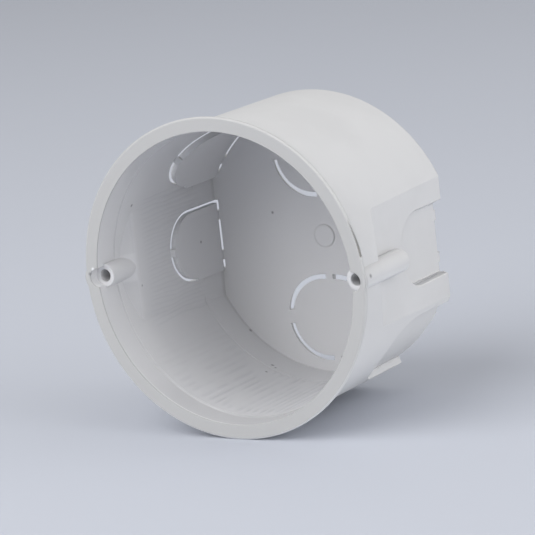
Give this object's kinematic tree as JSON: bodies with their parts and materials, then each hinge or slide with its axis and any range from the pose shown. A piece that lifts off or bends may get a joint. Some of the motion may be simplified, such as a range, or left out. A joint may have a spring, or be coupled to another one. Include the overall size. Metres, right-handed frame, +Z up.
{
  "type": "flush mounting box",
  "caption": "Round one-piece plastic cup with a thin rim, device screw bosses and break-out panels, set into a wall to hold a switch or socket.",
  "frame": {"origin": "on the box's axis, in the plane of the rim's rear face, which seats on the wall round the opening", "axes": "+Y along the axis into the wall, +X through the device screw boss on the right as seen from the front, +Z up"},
  "size_m": [0.0666, 0.0422, 0.0662],
  "materials": {
    "light_grey_plastic": "as moulded, slightly satin, with fine tool marks inside"
  },
  "bodies": {
    "root": {"box_body": "light_grey_plastic"}
  },
  "joints": []
}
